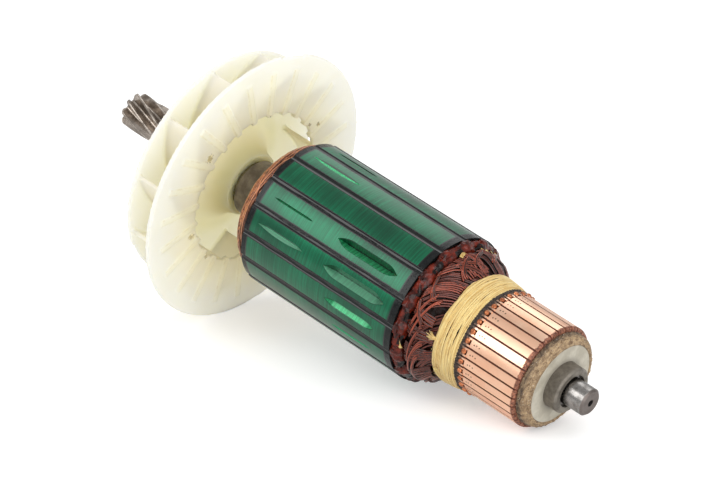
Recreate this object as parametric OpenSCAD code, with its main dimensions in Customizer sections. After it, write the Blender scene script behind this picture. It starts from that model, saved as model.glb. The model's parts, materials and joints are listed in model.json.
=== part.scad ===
// Armature of a portable power tool's motor, lying on its fan and its commutator.
// Lengths run along the shaft from the fan-side face of the lamination stack,
// and count up towards the commutator. Angles count from straight up.

/* [Lamination stack] */
// Diameter over the teeth
core_d = 49; // [46:0.5:54]
// Length of the stack
stack_len = 59.6; // [50:0.2:70]
// Number of slots
slot_count = 16; // [12:2:18]
// Angle of the first slot
slot_phase = 17.55; // [0:0.05:22]
// Width of a slot at the tooth tips
slot_mouth = 1.8; // [1.4:0.1:2.4]
// Width of a slot under the tooth tips
slot_w = 4.4; // [3.6:0.1:4.8]
// Width of a slot at its bottom
slot_root_w = 2; // [1.6:0.1:2.4]
// Depth of the tooth tips over a slot
tip_depth = 1.6; // [1.2:0.1:2]
// Depth of a slot from the tooth tips to its bottom
slot_depth = 11.4; // [9:0.1:12]
// Thickness of the insulating plate on the fan side
front_plate_t = 1.7; // [1.2:0.1:2.5]
// Thickness of the insulating plate on the commutator side
rear_plate_t = 2.2; // [1.2:0.1:3]
// Depth of the slot wedges below the teeth
wedge_recess = 0.4; // [0.2:0.1:0.8]
// Height of a slot wedge
wedge_h = 1.1; // [0.6:0.1:1.2]
// Thickness of the liner round the wire in a slot
liner_t = 0.3; // [0.2:0.05:0.5]
// Radius of the wheel that cut the balance grooves
cutter_r = 9; // [6:0.5:14]
// Angle of the wheel's pointed rim
cutter_angle = 90; // [70:5:110]
// Thickness of the lacquered washer on the commutator side
washer_t = 2.2; // [1.2:0.1:3]
// Depth of the washer's rim below the teeth
washer_drop = 1.4; // [1:0.1:2]
// Width of the washer's tabs at the slots
tab_w = 3.4; // [2.4:0.1:4]
// Depth of the tabs below the teeth
tab_drop = 0.4; // [0.2:0.1:0.8]
// Thickness of the tabs
tab_t = 1.5; // [1:0.1:2.5]

/* [Shaft] */
// Diameter through the stack
shaft_d = 16; // [14:0.5:17]
// Diameter of the seat of the drive-end bearing
seat_d = 15; // [14:0.5:16]
// Length of the seat of the drive-end bearing
seat_len = 11; // [8:0.5:14]
// Distance from the fan's back to the bearing seat
seat_gap = 8.4; // [5:0.2:12]
// Diameter of the neck beside the pinion
neck_d = 7.4; // [6.5:0.1:9]
// Length of the neck beside the pinion
neck_len = 2; // [1:0.5:4]
// Chamfer of the bearing seat
seat_chamfer = 0.6; // [0.3:0.1:1]
// Diameter inside the commutator
comm_seat_d = 10.7; // [10:0.1:11]
// Diameter of the journal at the commutator end
journal_d = 9; // [8:0.5:10]
// Length of the journal at the commutator end
journal_len = 8.2; // [6:0.2:12]
// Chamfer of the journal
journal_chamfer = 0.7; // [0.3:0.1:1.2]
// Diameter of the centre hole in the journal
centre_d = 2.2; // [1.5:0.1:3]
// Depth of the centre hole
centre_depth = 2.6; // [2:0.1:4]
// Diameter of the spacer sleeve beside the fan
sleeve_d = 18.5; // [18:0.1:20]

/* [Pinion] */
// Number of teeth
pinion_teeth = 9; // [7:1:12]
// Diameter over the teeth
pinion_d = 12.4; // [11:0.1:13]
// Diameter between the teeth
pinion_root_d = 7.6; // [7:0.1:8.6]
// Length of the teeth
pinion_len = 18.6; // [14:0.2:24]
// Angle of the teeth to the shaft
helix_angle = 17; // [10:1:25]
// Chamfer of the teeth at the free end
pinion_chamfer = 0.8; // [0.4:0.1:1.2]

/* [Fan] */
// Diameter of the ring on the core side
ring_d = 92.1; // [84:0.1:98]
// Diameter of the eye in the ring
eye_d = 52.1; // [46:0.1:58]
// Thickness of the ring
ring_t = 1.5; // [1.2:0.1:2.5]
// Distance from the stack to the ring
ring_gap = 20.4; // [18:0.2:26]
// Diameter of the back plate
back_d = 80.2; // [72:0.1:86]
// Thickness of the back plate
back_t = 1.5; // [1.2:0.1:2.5]
// Distance between the outer faces of the ring and the back plate
fan_len = 16.2; // [14:0.2:20]
// Number of blades
blade_count = 12; // [8:1:16]
// Angle of the first blade's centre of curvature
blade_phase = 1; // [0:0.5:30]
// Angle of the blades to the rim
blade_lean = 38; // [30:1:60]
// Thickness of a blade
blade_t = 1.4; // [1:0.1:2]
// Number of ribs on the ring
rib_count = 24; // [16:1:30]
// Angle of the first rib
rib_phase = 14.5; // [0:0.5:15]
// Angle of a rib to the radius
rib_lean = 6; // [0:1:12]
// Width of a rib on the ring
rib_w = 1.9; // [1.2:0.1:2.5]
// Height of a rib over the ring
rib_h = 0.4; // [0.2:0.1:1]
// Diameter over the outer ends of the ribs
rib_d = 82.4; // [76:0.1:86]
// Reach of the ribs into the eye
rib_tab = 0.9; // [0.4:0.1:1.4]
// Depth of the balance cut in the ring's rim
ring_cut = 0.7; // [0.3:0.1:1.5]
// Diameter of the hub at its top
hub_d = 20.6; // [20.4:0.2:24]
// Radius of the flare between hub and back plate
hub_flare = 16; // [8:0.5:16]
// Thickness of the flared wall of the hub
hub_wall = 1.9; // [1.4:0.1:2.5]
// Depth of the balance cut in the back plate's rim
rim_cut = 0.8; // [0.4:0.1:2]

/* [Windings] */
// Height of the coil heads on the fan side
front_head_h = 9.4; // [7:0.2:12]
// Diameter of the coil heads on the fan side
front_head_d = 46.8; // [40:0.2:47]
// Diameter of the coil heads on the commutator side
rear_head_d = 45.2; // [42:0.2:48]
// Length of the coil heads on the commutator side
rear_head_h = 11.4; // [9:0.2:14]
// Depth of the furrows between the coils
furrow = 2; // [0.4:0.1:3]
// Width of the furrows between the coils
furrow_w = 0.7; // [0.4:0.1:1.2]
// Slant of the coils to the shaft on the commutator side
coil_slant = 39; // [20:1:50]
// Slant of the coils to the shaft on the fan side
front_slant = 50; // [20:1:60]
// Depth of the cord's bed below the commutator's surface
cord_bed = 0.6; // [0.4:0.1:1.5]
// Diameter of the binding cord
cord_d = 1.15; // [0.8:0.05:1.6]
// Number of turns of the binding cord
cord_turns = 7; // [4:1:9]
// Taper of the cord's turns, per turn
cord_taper = 0.12; // [0:0.02:0.2]

/* [Commutator] */
// Diameter of the running surface
comm_d = 34.06; // [32:0.02:36]
// Length of the running surface
comm_len = 20.1; // [15:0.2:24]
// Length of the risers
riser_len = 2.7; // [2:0.1:4]
// Height of the risers over the running surface
riser_h = 0.2; // [0.1:0.05:0.8]
// Width of the resin between the cord and the risers
resin_w = 1; // [0.6:0.1:2]
// Depth of the resin below the running surface
resin_drop = 0.2; // [0.1:0.1:1]
// Height of the wire ends over the risers
wire_proud = 0.25; // [0.1:0.05:0.5]
// Number of bars
bar_count = 32; // [24:2:36]
// Angle of the first gap between bars
bar_phase = 5.15; // [0:0.05:11]
// Thickness of the mica between bars
mica_t = 0.6; // [0.4:0.05:0.9]
// Depth of the mica below the bars
mica_cut = 0.5; // [0.3:0.1:0.9]
// Chamfer at the bars' outer ends
bar_chamfer = 0.6; // [0.3:0.1:1]
// Diameter of a winding wire in its riser
wire_d = 1.5; // [1:0.1:1.8]
// Diameter under the bars
bar_inner_d = 22; // [20:0.2:23]
// Diameter of the steel bush
bush_d = 15.2; // [14.4:0.2:17]
// Reach of the bush beyond the clamp ring
bush_reach = 4.7; // [3:0.1:7]
// Depth of the shaft's shoulder inside the bush
bush_lip = 1; // [0.5:0.1:2]
// Diameter of the clamp ring
clamp_d = 25.9; // [24:0.1:27]
// Reach of the clamp ring beyond the bars
clamp_reach = 3.6; // [2.5:0.1:6]
// Width of the mica collar round the clamp ring
collar_w = 2.5; // [1.2:0.1:2.8]

/* [Fits] */
// Clearance between round pieces that are pressed together
fit = 0.05; // [0.03:0.01:0.1]
// Clearance round the wound pieces
wound_clear = 0.3; // [0.2:0.05:0.5]

/* [Hidden] */
$fn = 64;

steel = "#8f8a84";
dark_steel = "#6b6259";
fan_cream = "#efecd9";
lacquer_green = "#1f6b47";
lacquer_red = "#7a2f22";
fibre_black = "#23282a";
coil_red = "#6e2d1e";
coil_brown = "#a55f41";
cord_yellow = "#d7b96e";
copper = "#d9a98a";
mica_tan = "#b4966f";
resin_brown = "#4a2f22";

core_r = core_d / 2;
shaft_r = shaft_d / 2;
sleeve_r = sleeve_d / 2;
ring_r = ring_d / 2;
back_r = back_d / 2;
eye_r = eye_d / 2;
hub_r = hub_d / 2;
comm_r = comm_d / 2;
riser_r = comm_r + riser_h;
cord_bed_r = comm_r - cord_bed;
bar_inner_r = bar_inner_d / 2;
bush_r = bush_d / 2;
clamp_r = clamp_d / 2;
journal_r = journal_d / 2;
pinion_r = pinion_d / 2;
pinion_root_r = pinion_root_d / 2;

// Stations along the shaft
front_face = -front_plate_t;
rear_face = stack_len + rear_plate_t;
washer_face = rear_face + washer_t;
ring_face = -ring_gap;
ring_back = ring_face - ring_t;
back_outer = ring_face - fan_len;
back_inner = back_outer + back_t;
seat_end = back_outer - seat_gap;
seat_start = seat_end - seat_len;
neck_start = seat_start - neck_len;
pinion_end = neck_start - pinion_len;
head_end = rear_face + rear_head_h;
cord_len = cord_d * cord_turns;
cord_start = head_end;
cord_end = cord_start + cord_len;
riser_start = cord_end + resin_w;
riser_end = riser_start + riser_len;
bar_end = riser_end + comm_len;
clamp_face = bar_end + clamp_reach;
bush_end = clamp_face + bush_reach;
journal_start = bush_end - bush_lip;
shaft_end = journal_start + journal_len;

// How the armature lies: on the ring's edge and on the outer edge of the bars
bar_edge = bar_end - bar_chamfer;
lie_tilt = atan((ring_r - comm_r) / (bar_edge - ring_face));
lie_height = ring_face * sin(lie_tilt) + ring_r * cos(lie_tilt);
low_x = pinion_end * cos(lie_tilt) - (pinion_r - pinion_chamfer) * sin(lie_tilt);
high_x = shaft_end * cos(lie_tilt) + (journal_r - journal_chamfer) * sin(lie_tilt);
lie_shift = -(low_x + high_x) / 2;

bar_pitch = 360 / bar_count;
mica_angle = mica_t / comm_r * 180 / PI;
slot_pitch = 360 / slot_count;
slot_top_r = core_r - tip_depth;
slot_root_r = core_r - slot_depth;

// Balance grooves: tooth, start as a share of the stack, length, width at the tooth tips
balance_grooves = [
    [-1, 0.07, 17.6, 1.1],
    [0, 0.054, 19.6, 1.1],
    [2, 0.067, 16.4, 0.7],
    [3, 0.054, 18.4, 1.6],
    [2, 0.522, 24.8, 3.6],
    [3, 0.513, 25.8, 4.2],
    [4, 0.572, 20.8, 2.7],
    [5, 0.612, 16.7, 1.1]
];

// Balance cuts in the fan's rims: where each starts and how far round it goes
rim_cut_from = 117;
rim_cut_angle = 22;
ring_cut_from = -17;
ring_cut_angle = 14;

// Blades: arcs that cross the eye's edge and the rim at the same angle
blade_in = max(eye_r, hub_r + hub_flare) + blade_t / 2;
blade_out = back_r - blade_t / 2;
blade_r = (blade_in + blade_out) / (2 * cos(blade_lean));
blade_centre = sqrt(blade_in * blade_in + blade_r * blade_r - 2 * blade_in * blade_r * cos(blade_lean));

// Stands a piece drawn along the shaft in the way the armature lies
module lying() {
    translate([lie_shift, 0, lie_height])
        rotate([0, 90 + lie_tilt, 0])
            rotate([0, 0, 180])
                children();
}

// A round bar between two stations
module round_bar(r, from, to) {
    translate([0, 0, from])
        cylinder(r = r, h = to - from);
}

// A plain ring between two stations
module ring_bar(outer, inner, from, to) {
    translate([0, 0, from])
        difference() {
            cylinder(r = outer, h = to - from);
            translate([0, 0, -1])
                cylinder(r = inner, h = to - from + 2);
        }
}

// Joins rings of points, each counted the same way round, into one solid with flat ends
module ring_solid(rings) {
    n = len(rings[0]);
    last = len(rings) - 1;
    points = [for (ring = rings) each ring];
    sides = [
        for (i = [0 : last - 1], j = [0 : n - 1])
            let (k = (j + 1) % n)
            each [
                [i * n + j, i * n + n + j, i * n + n + k],
                [i * n + j, i * n + n + k, i * n + k]
            ]
    ];
    near_end = [for (j = [0 : n - 1]) j];
    far_end = [for (j = [n - 1 : -1 : 0]) last * n + j];
    polyhedron(points = points, faces = concat(sides, [near_end, far_end]));
}

module shaft() {
    color(steel)
        lying()
            difference() {
                rotate_extrude()
                    polygon([
                        [0, neck_start],
                        [neck_d / 2, neck_start],
                        [neck_d / 2, seat_start],
                        [seat_d / 2 - seat_chamfer, seat_start],
                        [seat_d / 2, seat_start + seat_chamfer],
                        [seat_d / 2, seat_end],
                        [shaft_r, seat_end],
                        [shaft_r, riser_start],
                        [comm_seat_d / 2, riser_start],
                        [comm_seat_d / 2, journal_start],
                        [journal_r, journal_start],
                        [journal_r, shaft_end - journal_chamfer],
                        [journal_r - journal_chamfer, shaft_end],
                        [0, shaft_end]
                    ]);
                round_bar(centre_d / 4, shaft_end - centre_depth, shaft_end + 1);
                translate([0, 0, shaft_end - centre_d / 2])
                    cylinder(r1 = 0, r2 = centre_d, h = centre_d);
            }
}

// Half the angle that a tooth takes up at a height between root and tip, as a share of the pitch
function tooth_half(height) = 0.09 + 0.27 * pow(1 - height, 1.3);

// Heights of the points up one flank
flank = [0, 0.08, 0.3, 0.6, 0.85, 1];

// One ring of the pinion, turned by an angle and not wider than a limit
function pinion_ring(turn, z, limit) = [
    for (i = [0 : pinion_teeth - 1], k = [0 : 2 * len(flank) - 1])
        let (
            rising = k < len(flank),
            height = rising ? flank[k] : flank[2 * len(flank) - 1 - k],
            share = i + (rising ? -1 : 1) * tooth_half(height),
            a = turn + share * 360 / pinion_teeth,
            r = min(limit, pinion_root_r + (pinion_r - pinion_root_r) * height)
        )
        [r * cos(a), r * sin(a), z]
];

module pinion() {
    mean_r = (pinion_r + pinion_root_r) / 2;
    turn_per_mm = tan(helix_angle) / mean_r * 180 / PI;
    bevel_end = pinion_end + pinion_chamfer;
    slices = 9;
    color(dark_steel)
        lying()
            ring_solid([
                pinion_ring(0, pinion_end, pinion_r - pinion_chamfer),
                for (i = [0 : slices])
                    let (z = bevel_end + (neck_start - bevel_end) * i / slices)
                    pinion_ring((z - pinion_end) * turn_per_mm, z, pinion_r)
            ]);
}

module spacer_sleeve() {
    color(dark_steel)
        lying()
            ring_bar(sleeve_r, shaft_r + fit, ring_face, front_face);
}

module fan_back_plate() {
    color(fan_cream)
        lying()
            difference() {
                rotate_extrude($fn = 96)
                    difference() {
                        union() {
                            translate([shaft_r + fit, back_outer])
                                square([back_r - shaft_r - fit, back_t]);
                            translate([shaft_r + fit, back_outer])
                                square([hub_r + hub_flare - shaft_r - fit, fan_len - ring_t]);
                        }
                        translate([hub_r + hub_flare, back_inner + hub_flare])
                            circle(r = hub_flare, $fn = 64);
                        translate([hub_r, back_inner + hub_flare])
                            square([back_r, fan_len]);
                        difference() {
                            translate([hub_r, back_outer - 1])
                                square([hub_flare, hub_flare + 1]);
                            translate([hub_r + hub_flare, back_inner + hub_flare])
                                circle(r = hub_flare + hub_wall, $fn = 64);
                        }
                    }
                rotate([0, 0, rim_cut_from])
                    rotate_extrude(angle = rim_cut_angle)
                        translate([back_r - rim_cut, back_outer - 1])
                            square([rim_cut + 1, back_t + 2]);
            }
}

// Angle round a blade's centre, from the shaft to the place where the blade reaches a radius
function blade_turn(r) =
    acos((blade_centre * blade_centre + blade_r * blade_r - r * r) / (2 * blade_centre * blade_r));

module fan_blades() {
    start = blade_turn(blade_out);
    color(fan_cream)
        lying()
            for (i = [0 : blade_count - 1])
                rotate([0, 0, blade_phase + i * 360 / blade_count])
                    translate([blade_centre, 0, 0])
                        rotate([0, 0, 180 - start])
                            rotate_extrude(angle = start - blade_turn(blade_in), $fn = 96)
                                translate([blade_r - blade_t / 2, back_inner])
                                    square([blade_t, ring_back - back_inner]);
}

module fan_ring() {
    inner = eye_r - rib_tab;
    rib_len = rib_d / 2 - inner;
    color(fan_cream)
        lying()
            difference() {
                union() {
                    ring_bar(ring_r, eye_r, ring_back, ring_face);
                    for (i = [0 : rib_count - 1])
                        rotate([0, 0, rib_phase + i * 360 / rib_count])
                            translate([inner + rib_len / 2, 0, ring_back])
                                rotate([0, 0, rib_lean])
                                    translate([-rib_len / 2, -rib_w / 2, 0])
                                        cube([rib_len, rib_w, ring_t + rib_h]);
                }
                rotate([0, 0, ring_cut_from])
                    rotate_extrude(angle = ring_cut_angle)
                        translate([ring_r - ring_cut, ring_back - 1])
                            square([ring_cut + 1, ring_t + 2]);
            }
}

// Outline of a slot from its bottom to its mouth, grown or shrunk on its sides
module slot_outline(inset = 0) {
    polygon([
        [slot_root_r + inset, -slot_root_w / 2 + inset],
        [slot_top_r - inset, -slot_w / 2 + inset],
        [slot_top_r - inset, slot_w / 2 - inset],
        [slot_root_r + inset, slot_root_w / 2 - inset]
    ]);
}

module each_slot() {
    for (i = [0 : slot_count - 1])
        rotate([0, 0, slot_phase + i * slot_pitch])
            children();
}

module lamination() {
    difference() {
        circle(r = core_r, $fn = 128);
        circle(r = shaft_r + fit);
        each_slot() {
            slot_outline();
            translate([slot_top_r - 1, -slot_mouth / 2])
                square([tip_depth + 2, slot_mouth]);
        }
    }
}

// The groove that a wheel with a pointed rim leaves along the middle of a tooth
module balance_groove(tooth, start, travel, width) {
    depth = width / 2 / tan(cutter_angle / 2);
    run_in = sqrt(2 * cutter_r * depth - depth * depth);
    from = start * stack_len + run_in;
    to = start * stack_len + travel - run_in;
    half_w = tan(cutter_angle / 2);
    rotate([0, 0, slot_phase + (tooth - 0.5) * slot_pitch])
        translate([core_r - depth, 0, 0]) {
            for (z = [from, to])
                translate([cutter_r, 0, z])
                    rotate([90, 0, 0])
                        rotate_extrude($fn = 96)
                            polygon([
                                [cutter_r - 2 * depth, -2 * depth * half_w],
                                [cutter_r, 0],
                                [cutter_r - 2 * depth, 2 * depth * half_w]
                            ]);
            translate([0, 0, from])
                linear_extrude(height = to - from)
                    polygon([
                        [0, 0],
                        [2 * depth, -2 * depth * half_w],
                        [2 * depth, 2 * depth * half_w]
                    ]);
        }
}

module laminated_core() {
    color(lacquer_green)
        lying()
            difference() {
                linear_extrude(height = stack_len)
                    lamination();
                for (g = balance_grooves)
                    balance_groove(g[0], g[1], g[2], g[3]);
            }
}

module front_end_plate() {
    color(fibre_black)
        lying()
            translate([0, 0, front_face])
                linear_extrude(height = front_plate_t)
                    lamination();
}

module rear_end_plate() {
    color(fibre_black)
        lying()
            translate([0, 0, stack_len])
                linear_extrude(height = rear_plate_t)
                    lamination();
}

module slot_conductors() {
    color(coil_brown)
        lying()
            translate([0, 0, front_face])
                linear_extrude(height = rear_face - front_face)
                    each_slot()
                        slot_outline(liner_t);
}

module slot_wedges() {
    color(fibre_black)
        lying()
            translate([0, 0, front_face])
                linear_extrude(height = rear_face - front_face)
                    each_slot()
                        translate([core_r - wedge_recess - wedge_h, -slot_mouth / 2 + fit])
                            square([wedge_h, slot_mouth - 2 * fit]);
}

// Outer line of the beds that the coils lie on, from the stack outwards
front_bed_r = front_head_d / 2 - furrow - fit;
front_bed_top = front_face - front_head_h + furrow + fit;
front_bore = sleeve_r + wound_clear;
front_bed = [
    for (p = [[0.96, 0], [1, 0.22], [0.96, 0.45], [0.84, 0.68], [0.62, 0.88], [0.35, 1]])
        [
            front_bore + (front_bed_r - front_bore) * p[0],
            front_face + (front_bed_top - front_face) * p[1]
        ]
];
rear_bed_r = rear_head_d / 2 - furrow - fit;
rear_bore = shaft_r + wound_clear;
rear_bed = [
    for (p = [[0.97, 0], [1, 0.18], [0.95, 0.38], [0.64, 0.6], [0.3, 0.8], [0.12, 0.96]])
        [
            cord_bed_r + (rear_bed_r - cord_bed_r) * p[0],
            washer_face + (head_end - washer_face) * p[1]
        ]
];

// Length of a bed's outer line up to a point, divided by the radius: how far round a coil gets
function turned(bed, i) = i == 0 ? 0 :
    turned(bed, i - 1) + norm(bed[i] - bed[i - 1]) * 2 / (bed[i][0] + bed[i - 1][0]);

// One ring of a coil that lies on a bed: side is 1 towards the commutator and -1 towards the fan
function coil_ring(bed, i, slant, side) =
    let (
        a = turned(bed, i) * tan(slant) * 180 / PI,
        along = bed[min(i + 1, len(bed) - 1)] - bed[max(i - 1, 0)],
        out = i == 0 ? [1, 0] : side * [along[1], -along[0]] / norm(along),
        mid = bed[i] + out * (furrow / 2 + fit),
        wide = slot_pitch - furrow_w / cos(slant) / mid[0] * 180 / PI
    )
    [
        for (j = [0 : 9])
            let (
                lift = out * cos(j * 36) * furrow / 2,
                r = mid[0] + lift[0],
                b = slot_phase - side * a + side * sin(j * 36) * wide / 2
            )
            [r * cos(b), r * sin(b), mid[1] + lift[1]]
    ];

module coils(bed, slant, side) {
    for (k = [0 : slot_count - 1])
        rotate([0, 0, k * slot_pitch])
            ring_solid([for (i = [0 : len(bed) - 1]) coil_ring(bed, i, slant, side)]);
}

module front_coil_bed() {
    color(resin_brown)
        lying()
            rotate_extrude()
                polygon(concat(
                    [[front_bore, front_face]],
                    front_bed,
                    [[front_bore, front_bed_top + furrow / 2]]
                ));
}

module front_coil_heads() {
    color(coil_brown)
        lying()
            coils(front_bed, front_slant, -1);
}

module rear_washer() {
    washer_r = core_r - washer_drop;
    color(lacquer_red)
        lying()
            translate([0, 0, rear_face])
                difference() {
                    union() {
                        cylinder(r = washer_r, h = washer_t);
                        each_slot()
                            translate([washer_r - 2, -tab_w / 2, 0])
                                cube([washer_drop - tab_drop + 2, tab_w, tab_t]);
                    }
                    translate([0, 0, -1])
                        cylinder(r = rear_bore, h = washer_t + 2);
                }
}

module rear_coil_bed() {
    color(resin_brown)
        lying()
            rotate_extrude()
                polygon(concat(
                    [[rear_bore, washer_face]],
                    rear_bed,
                    [[cord_bed_r, head_end], [cord_bed_r, cord_end], [rear_bore, cord_end]]
                ));
}

module rear_coil_heads() {
    color(coil_red)
        lying()
            coils(rear_bed, coil_slant, 1);
}

module binding_cord() {
    turn_r = cord_bed_r + wound_clear + cord_d / 2 + cord_taper * (cord_turns - 1);
    color(cord_yellow)
        lying()
            rotate_extrude($fn = 96)
                for (i = [0 : cord_turns - 1])
                    translate([turn_r - cord_taper * i, cord_start + (i + 0.5) * cord_d])
                        circle(d = cord_d + 0.1, $fn = 24);
}

module riser_resin() {
    color(resin_brown)
        lying()
            ring_bar(comm_r - resin_drop, rear_bore, cord_end, riser_start);
}

// The notch in the bars' ends that the mica collar and the clamp ring sit in
notch_mouth_r = clamp_r + collar_w - 0.4;
notch_apex = [clamp_r + 0.4, bar_end - 4];
notch_inner_z = bar_end - 1.6;

module bar_section(outer_r, riser_outer_r) {
    polygon([
        [bar_inner_r, riser_start],
        [riser_outer_r, riser_start],
        [riser_outer_r, riser_end],
        [outer_r, riser_end],
        [outer_r, bar_edge],
        [outer_r - bar_chamfer, bar_end],
        [notch_mouth_r, bar_end],
        notch_apex,
        [bar_inner_r, notch_inner_z]
    ]);
}

module each_bar() {
    for (i = [0 : bar_count - 1])
        rotate([0, 0, bar_phase + i * bar_pitch])
            children();
}

// Radius at which the wire ends lie in the risers
wire_r = riser_r + wire_proud - wire_d / 2;

module commutator_bars() {
    bar_angle = bar_pitch - mica_angle;
    slot = wire_d + 2 * fit;
    color(copper)
        lying()
            each_bar()
                difference() {
                    rotate([0, 0, mica_angle / 2])
                        rotate_extrude(angle = bar_angle)
                            bar_section(comm_r, riser_r);
                    rotate([0, 0, bar_pitch / 2])
                        translate([wire_r - slot / 2, -slot / 2, riser_start - 1])
                            cube([2 * wire_d, slot, riser_len + 1]);
                }
}

module bar_micas() {
    color(mica_tan)
        lying()
            each_bar()
                rotate([0, 0, -mica_angle / 2])
                    rotate_extrude(angle = mica_angle)
                        bar_section(comm_r - mica_cut, comm_r - mica_cut);
}

module riser_wires() {
    color(copper)
        lying()
            each_bar()
                rotate([0, 0, bar_pitch / 2])
                    translate([wire_r, 0, riser_start]) {
                        cylinder(d = wire_d, h = riser_len - wire_d / 2 - fit, $fn = 24);
                        translate([0, 0, riser_len - wire_d / 2 - fit])
                            sphere(d = wire_d, $fn = 24);
                    }
}

module commutator_shell() {
    color(resin_brown)
        lying()
            ring_bar(bar_inner_r - fit, bush_r + fit, riser_start, notch_inner_z);
}

module commutator_bush() {
    color(dark_steel)
        lying()
            difference() {
                union() {
                    round_bar(bush_r, riser_start, bush_end - 0.6);
                    translate([0, 0, bush_end - 0.6])
                        cylinder(r1 = bush_r, r2 = bush_r - 0.6, h = 0.6);
                }
                round_bar(comm_seat_d / 2 + fit, riser_start - 1, bush_end + 1);
            }
}

module mica_collar() {
    inner = clamp_r + fit;
    outer = clamp_r + collar_w;
    color(mica_tan)
        lying()
            rotate_extrude($fn = 96)
                polygon([
                    [inner, bar_end - 2.4],
                    [inner + 0.3, bar_end - 2.4],
                    [notch_mouth_r - 0.5, bar_end],
                    [outer - 0.2, bar_end + fit],
                    [outer, bar_end + 0.3 * clamp_reach],
                    [outer - 0.4, bar_end + 0.8 * clamp_reach],
                    [inner + 0.6, clamp_face + 0.3],
                    [inner, clamp_face]
                ]);
}

module clamp_ring() {
    color(steel)
        lying()
            rotate_extrude($fn = 96)
                polygon([
                    [bush_r + fit, clamp_face],
                    [clamp_r, clamp_face],
                    [clamp_r, bar_end - 2.6],
                    [bar_inner_r, notch_inner_z + 0.6],
                    [bush_r + fit, notch_inner_z + 0.6]
                ]);
}

shaft();
pinion();
spacer_sleeve();
fan_back_plate();
fan_blades();
fan_ring();
laminated_core();
front_end_plate();
rear_end_plate();
slot_conductors();
slot_wedges();
front_coil_bed();
front_coil_heads();
rear_washer();
rear_coil_bed();
rear_coil_heads();
binding_cord();
riser_resin();
commutator_bars();
bar_micas();
riser_wires();
commutator_shell();
commutator_bush();
mica_collar();
clamp_ring();
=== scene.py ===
"""Looks for the armature of a portable power tool's motor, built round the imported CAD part."""
import json
import math
import random

import bpy
import numpy as np
from mathutils import Matrix, Vector


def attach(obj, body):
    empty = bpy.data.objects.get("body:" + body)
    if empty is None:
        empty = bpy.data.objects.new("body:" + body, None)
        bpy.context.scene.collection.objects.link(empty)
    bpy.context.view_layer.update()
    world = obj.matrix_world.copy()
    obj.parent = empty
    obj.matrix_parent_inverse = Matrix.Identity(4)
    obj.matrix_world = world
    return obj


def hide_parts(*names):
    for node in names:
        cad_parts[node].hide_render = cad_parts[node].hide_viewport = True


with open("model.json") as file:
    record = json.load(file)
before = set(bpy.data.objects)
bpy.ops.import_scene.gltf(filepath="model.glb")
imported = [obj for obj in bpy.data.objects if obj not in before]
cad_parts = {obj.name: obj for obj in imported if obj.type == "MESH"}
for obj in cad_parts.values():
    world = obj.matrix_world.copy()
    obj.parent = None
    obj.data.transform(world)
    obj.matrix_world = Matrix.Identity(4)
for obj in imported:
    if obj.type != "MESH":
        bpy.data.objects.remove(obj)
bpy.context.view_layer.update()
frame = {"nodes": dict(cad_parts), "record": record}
nodes = frame["nodes"]
rng = random.Random(7)

# The shaft's own frame: x up, y towards the camera, z along the shaft to the commutator, in millimetres
journal = next(m for m in frame["record"]["mounts"] if m["name"] == "rear_journal")
AXIS = Vector(journal["axis"]).normalized()
SIDE = Vector((0, -1, 0))
UP = SIDE.cross(AXIS)
on_axis = Vector(journal["pos_m"])
core_pts = [v.co for v in nodes["laminated_core"].data.vertices]
first = min((p - on_axis).dot(AXIS) for p in core_pts)
ORIGIN = on_axis + AXIS * first
FRAME3 = np.array(Matrix((UP, SIDE, AXIS)).transposed())

# Sizes of the part, in millimetres, with its angles in degrees
PER_DEGREE = math.pi / 180
CORE_R, SLOTS, SLOT_PHASE, SLOT_PITCH = 24.5, 16, 17.55, 22.5
TOOTH_PHASE = SLOT_PHASE + SLOT_PITCH / 2
FRONT_FACE, STACK_LEN, REAR_FACE, WASHER_FACE = -1.7, 59.6, 61.8, 64.0
FRONT_TOP = FRONT_FACE - 9.4 + 2.05
HEAD_END, CORD_END, RISER_END, BAR_END, SHAFT_END = 73.2, 81.25, 84.95, 105.05, 120.55
COMM_R, BARS, BAR_PHASE, BAR_PITCH = 17.03, 32, 5.15, 11.25
CORD_BED_R, REAR_BED_R, FRONT_BED_R, FRONT_BORE = 16.43, 20.55, 21.35, 9.55
RING_FACE, RIB_PITCH, RIB_PHASE, RIB_LEAN, RIB_MID = -20.4, 15, 14.5, 6, 32.8


def to_world(points):
    """Points drawn along the shaft in millimetres, in the part's frame in metres."""
    return np.asarray(points) @ FRAME3.T * 0.001 + np.array(ORIGIN)


def polar(r, theta, z):
    """Points from radius, angle in degrees and station."""
    a = np.radians(theta)
    r, a, z = np.broadcast_arrays(np.asarray(r, float), a, np.asarray(z, float))
    return np.stack([r * np.cos(a), r * np.sin(a), z], axis=-1)


def angles(count):
    """Evenly spaced angles round the shaft, in degrees."""
    return np.arange(count) * 360 / count


def add_object(name, data):
    """A new object in the scene."""
    obj = bpy.data.objects.new(name, data)
    bpy.context.scene.collection.objects.link(obj)
    return obj


def smooth(mesh):
    mesh.polygons.foreach_set("use_smooth", [True] * len(mesh.polygons))


def drop(obj):
    """Removes a scratch object and its mesh."""
    mesh = obj.data
    bpy.data.objects.remove(obj)
    bpy.data.meshes.remove(mesh)


def modified(source, name):
    """A smooth object from what a scratch object's modifiers make of it."""
    mesh = bpy.data.meshes.new_from_object(source.evaluated_get(bpy.context.evaluated_depsgraph_get()))
    drop(source)
    mesh.name = name
    smooth(mesh)
    return add_object(name, mesh)


def paint(obj, material):
    obj.data.materials.clear()
    obj.data.materials.append(material)


def dress(obj, material, stands_for=()):
    """Gives a new object its material and its place on the part."""
    paint(obj, material)
    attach(obj, "root")
    if stands_for:
        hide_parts(*stands_for)
    return obj


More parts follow.
